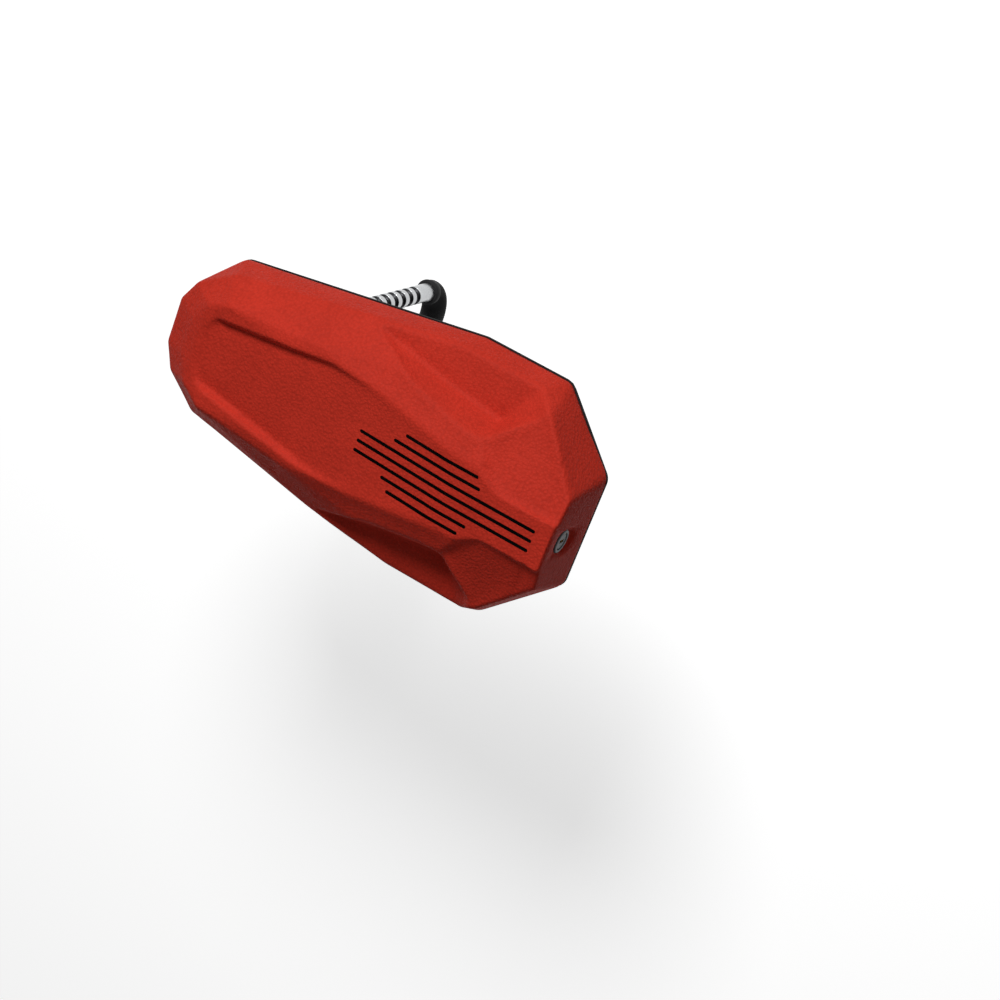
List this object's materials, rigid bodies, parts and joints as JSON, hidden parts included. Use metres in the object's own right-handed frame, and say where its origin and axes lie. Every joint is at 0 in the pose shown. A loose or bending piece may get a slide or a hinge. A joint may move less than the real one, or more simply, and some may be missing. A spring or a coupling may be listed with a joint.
{
  "type": "wheel clamp",
  "caption": "Wheel clamp: a red moulded cover with a push lock in its wide end, held to a road wheel by a long notched U shackle passed through the wheel from behind.",
  "frame": {"origin": "midway between the two shackle legs, on the back face of the rubber pad", "axes": "+X along the cover towards the lock end, +Y across it, +Z away from the wheel along the shackle legs"},
  "size_m": [0.3015, 0.1612, 0.2718],
  "materials": {
    "red_moulding": "fine moulded grain, satin",
    "black_rubber": "matt",
    "black_sleeve": "matt",
    "black_coat": "powder coated",
    "blued_steel": "phosphated",
    "spring_steel": "drawn wire",
    "zinc_fastener": "zinc plated",
    "satin_barrel": "satin",
    "bar_steel": "milled",
    "core_brass": "satin",
    "shackle_steel": "bright zinc plated"
  },
  "bodies": {
    "housing": {"cover_shell": "red_moulding", "rim_pad": "black_rubber", "back_plate": "black_coat", "shackle_block": "blued_steel", "leg_seals": "black_rubber", "armour_channel": "blued_steel", "lock_housing": "blued_steel", "drill_guard": "blued_steel", "bar_guide_front": "blued_steel", "bar_guide_rear": "blued_steel", "return_spring": "spring_steel", "cover_screws": "zinc_fastener", "block_bolts": "zinc_fastener", "bracket_screws": "zinc_fastener"},
    "lock_slide": {"lock_barrel": "satin_barrel", "push_bar": "bar_steel", "catch_plate": "bar_steel", "bar_pin": "zinc_fastener", "catch_rivets": "zinc_fastener", "spring_washer": "zinc_fastener"},
    "key_core": {"lock_core": "core_brass", "disc_tumblers": "core_brass", "core_cam": "bar_steel", "core_clip": "spring_steel"},
    "detent": {"locking_pin": "satin_barrel"},
    "shackle": {"shackle": "shackle_steel", "shackle_sleeve": "black_sleeve"}
  },
  "joints": [
    {"name": "shackle_slide", "type": "slide", "parent": "housing", "child": "shackle", "axis": [0, 0, -1], "range_m": [0, 0.0345]},
    {"name": "lock_push", "type": "slide", "parent": "housing", "child": "lock_slide", "axis": [-1, 0, 0], "range_m": [0, 0.008], "stiffness_N_per_m": 600, "springref_m": -0.004, "deforming": ["return_spring"]},
    {"name": "key_turn", "type": "hinge", "parent": "lock_slide", "child": "key_core", "pos_m": [0.2285, 0, 0.032], "axis": [1, 0, 0], "range_deg": [0, 90]},
    {"name": "pin_throw", "type": "slide", "parent": "lock_slide", "child": "detent", "axis": [0, 0, -1], "range_m": [0, 0.002]}
  ],
  "couplings": [
    {"joint": "pin_throw", "follows": "key_turn", "m_per_rad": 0.0012732}
  ]
}
